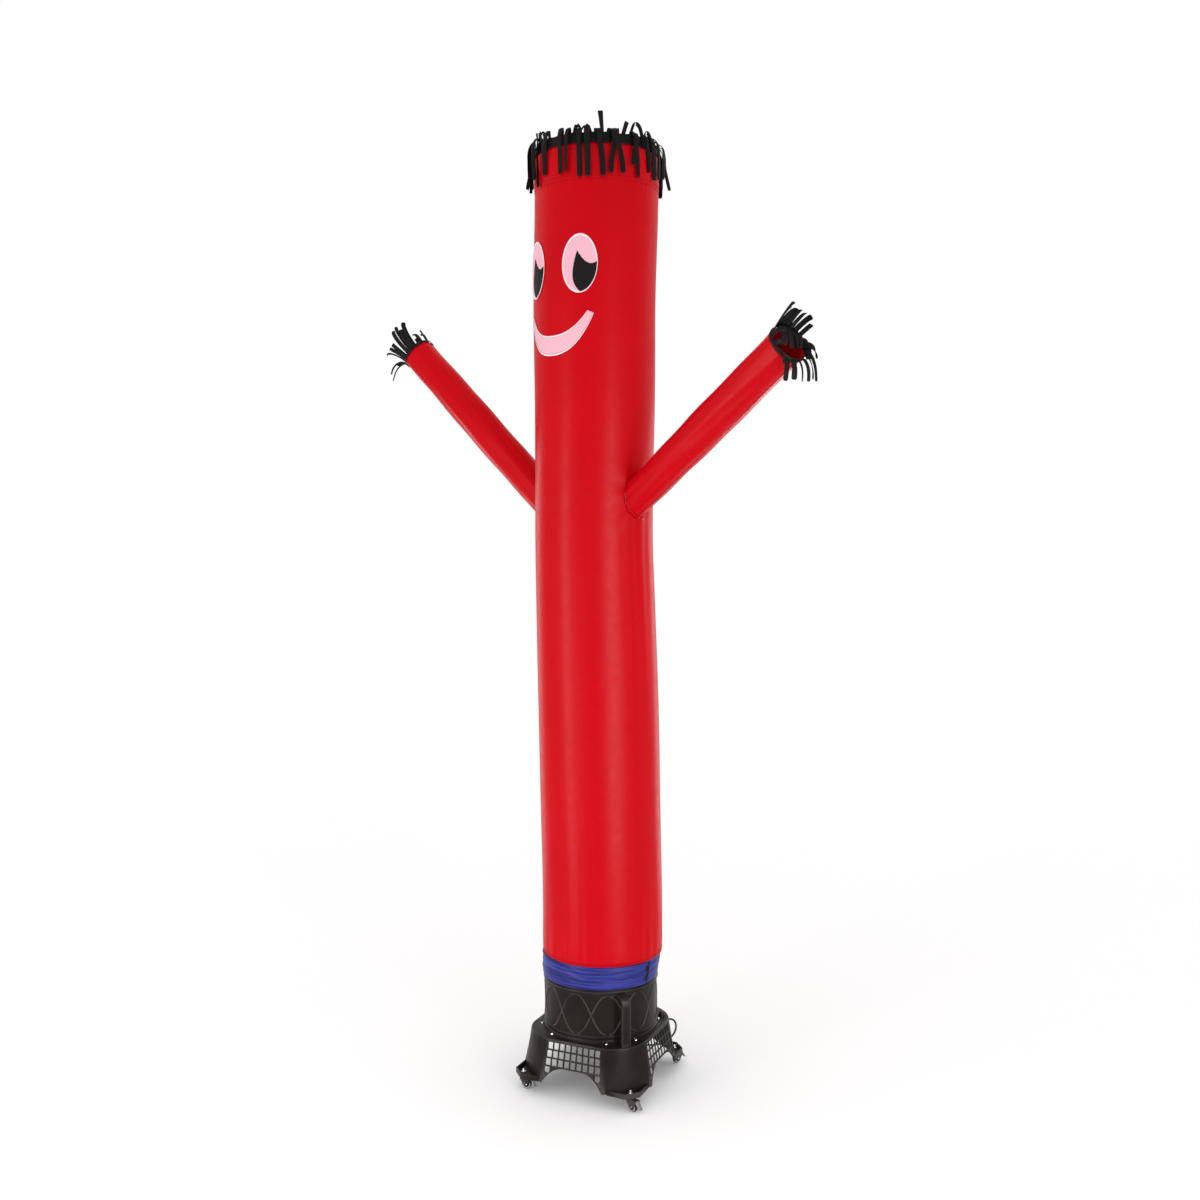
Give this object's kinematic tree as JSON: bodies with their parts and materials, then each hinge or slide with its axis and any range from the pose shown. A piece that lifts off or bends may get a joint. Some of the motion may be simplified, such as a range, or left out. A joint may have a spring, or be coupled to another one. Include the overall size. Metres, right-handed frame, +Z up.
{
  "type": "inflatable air dancer on a fan blower",
  "caption": "Tall red inflatable cloth tube figure with a smiling face, raised arms and black fringes, strapped by a blue collar to a plastic fan blower on swivel casters.",
  "frame": {"origin": "on the floor under the middle of the whole object, measured without its mains lead", "axes": "+Z up the dancer, -Y out of the blower's front grille, +X to the right as seen from the front"},
  "size_m": [1.6276, 0.8251, 3.0302],
  "materials": {
    "red_cloth": "coated nylon, soft sheen",
    "blue_cloth": "coated nylon, slightly creased",
    "black_cloth": "matt nylon, cut edges",
    "pink_cloth": "sewn-on nylon",
    "blower_plastic": "moulded, fine grain",
    "caster_plastic": "moulded, smooth",
    "steel": "bright plated",
    "tyre": "hard rolling tread",
    "knob": "moulded",
    "lead_rubber": "matt"
  },
  "bodies": {
    "dancer_and_blower": {"tube": "red_cloth", "arm_right": "red_cloth", "arm_left": "red_cloth", "hair": "black_cloth", "hand_fringe_right": "black_cloth", "hand_fringe_left": "black_cloth", "pupil_right": "black_cloth", "pupil_left": "black_cloth", "hook_strip": "black_cloth", "eye_white_right": "pink_cloth", "eye_white_left": "pink_cloth", "mouth": "pink_cloth", "collar": "blue_cloth", "collar_lap": "blue_cloth", "drum": "blower_plastic", "inlet_guard": "blower_plastic", "handle_front": "blower_plastic", "handle_back": "blower_plastic", "foot": "blower_plastic", "grille_front": "blower_plastic", "grille_right": "blower_plastic", "grille_back": "blower_plastic", "grille_left": "blower_plastic", "switch_housing": "blower_plastic", "flange_screw_1": "steel", "flange_screw_2": "steel", "flange_screw_3": "steel", "flange_screw_4": "steel", "flange_screw_5": "steel", "flange_screw_6": "steel", "flange_screw_7": "steel", "flange_screw_8": "steel", "switch_knob": "knob", "caster_front_right_bolt": "steel", "caster_front_left_bolt": "steel", "caster_back_right_bolt": "steel", "caster_back_left_bolt": "steel", "cord_gland": "lead_rubber", "cord": "lead_rubber", "cord_coil": "lead_rubber", "cord_tail": "lead_rubber", "cord_plug": "lead_rubber"},
    "front_right_swivel": {"caster_front_right_fork": "caster_plastic", "caster_front_right_axle": "steel"},
    "front_right_wheel": {"caster_front_right_wheel": "tyre"},
    "front_right_brake": {"caster_front_right_brake": "steel"},
    "front_left_swivel": {"caster_front_left_fork": "caster_plastic", "caster_front_left_axle": "steel"},
    "front_left_wheel": {"caster_front_left_wheel": "tyre"},
    "front_left_brake": {"caster_front_left_brake": "steel"},
    "back_right_swivel": {"caster_back_right_fork": "caster_plastic", "caster_back_right_axle": "steel"},
    "back_right_wheel": {"caster_back_right_wheel": "tyre"},
    "back_right_brake": {"caster_back_right_brake": "steel"},
    "back_left_swivel": {"caster_back_left_fork": "caster_plastic", "caster_back_left_axle": "steel"},
    "back_left_wheel": {"caster_back_left_wheel": "tyre"},
    "back_left_brake": {"caster_back_left_brake": "steel"}
  },
  "joints": [
    {"name": "front_right_swivel_turn", "type": "hinge", "parent": "dancer_and_blower", "child": "front_right_swivel", "pos_m": [0.19234, -0.06967, 0.04], "axis": [0, 0, 1], "continuous": true},
    {"name": "front_right_wheel_roll", "type": "hinge", "parent": "front_right_swivel", "child": "front_right_wheel", "pos_m": [0.20268, -0.07343, 0.0155], "axis": [0.342, 0.9397, 0], "continuous": true},
    {"name": "front_right_brake_press", "type": "hinge", "parent": "front_right_swivel", "child": "front_right_brake", "pos_m": [0.21583, -0.07822, 0.0335], "axis": [0.342, 0.9397, 0], "range_deg": [0, 15]},
    {"name": "front_left_swivel_turn", "type": "hinge", "parent": "dancer_and_blower", "child": "front_left_swivel", "pos_m": [-0.17966, -0.06967, 0.04], "axis": [0, 0, 1], "continuous": true},
    {"name": "front_left_wheel_roll", "type": "hinge", "parent": "front_left_swivel", "child": "front_left_wheel", "pos_m": [-0.16874, -0.06832, 0.0155], "axis": [-0.1219, 0.9925, 0], "continuous": true},
    {"name": "front_left_brake_press", "type": "hinge", "parent": "front_left_swivel", "child": "front_left_brake", "pos_m": [-0.15485, -0.06662, 0.0335], "axis": [-0.1219, 0.9925, 0], "range_deg": [0, 15]},
    {"name": "back_right_swivel_turn", "type": "hinge", "parent": "dancer_and_blower", "child": "back_right_swivel", "pos_m": [0.19234, 0.30233, 0.04], "axis": [0, 0, 1], "continuous": true},
    {"name": "back_right_wheel_roll", "type": "hinge", "parent": "back_right_swivel", "child": "back_right_wheel", "pos_m": [0.19699, 0.3123, 0.0155], "axis": [-0.9063, 0.4226, 0], "continuous": true},
    {"name": "back_right_brake_press", "type": "hinge", "parent": "back_right_swivel", "child": "back_right_brake", "pos_m": [0.2029, 0.32499, 0.0335], "axis": [-0.9063, 0.4226, 0], "range_deg": [0, 15]},
    {"name": "back_left_swivel_turn", "type": "hinge", "parent": "dancer_and_blower", "child": "back_left_swivel", "pos_m": [-0.17966, 0.30233, 0.04], "axis": [0, 0, 1], "continuous": true},
    {"name": "back_left_wheel_roll", "type": "hinge", "parent": "back_left_swivel", "child": "back_left_wheel", "pos_m": [-0.17124, 0.30941, 0.0155], "axis": [-0.6428, 0.766, 0], "continuous": true},
    {"name": "back_left_brake_press", "type": "hinge", "parent": "back_left_swivel", "child": "back_left_brake", "pos_m": [-0.16051, 0.3184, 0.0335], "axis": [-0.6428, 0.766, 0], "range_deg": [0, 15]}
  ]
}
